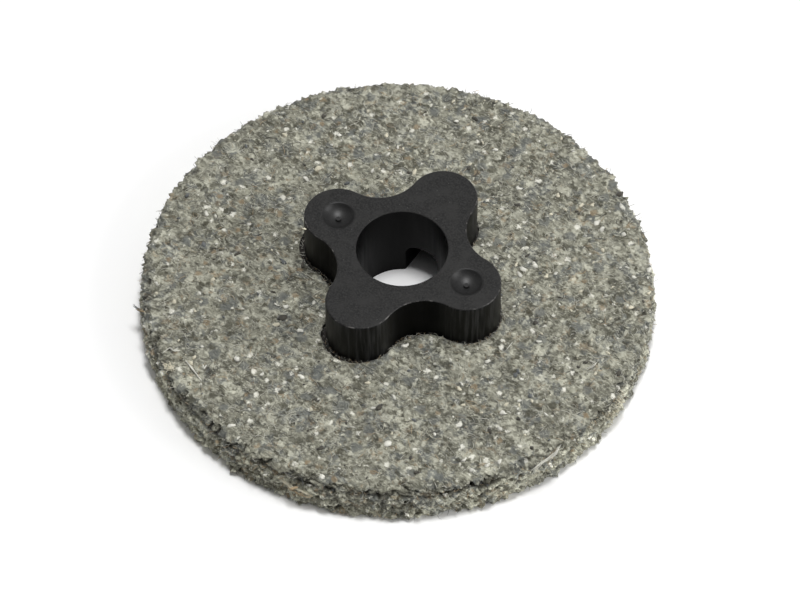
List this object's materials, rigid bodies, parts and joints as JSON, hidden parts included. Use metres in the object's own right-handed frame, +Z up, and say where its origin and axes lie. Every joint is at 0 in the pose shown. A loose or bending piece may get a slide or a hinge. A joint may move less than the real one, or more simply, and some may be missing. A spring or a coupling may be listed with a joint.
{
  "type": "felt polishing wheel",
  "caption": "Round two-ply felt polishing disc on a black moulded plastic hub with rounded lobes, a plain spindle bore and blind drive slots in its underside.",
  "frame": {"origin": "on the wheel's axis, at the underside that lies on the table", "axes": "+Z up along the axis towards the hub's top; X through the two dimpled lobes; Y through the two lobes with drive slots"},
  "size_m": [0.125, 0.125, 0.0235],
  "materials": {
    "hub_plastic": "black moulded plastic, matt on top and smoother on the walls",
    "facing_felt": "mottled grey felt of mixed fibres with pale flecks",
    "backing_felt": "the same felt, coarser and darker at its open rim",
    "glue": "dried amber glue, hidden inside"
  },
  "bodies": {
    "root": {"hub": "hub_plastic", "felt_facing": "facing_felt", "felt_backing": "backing_felt", "ply_glue": "glue", "hub_bond": "glue"}
  },
  "joints": []
}
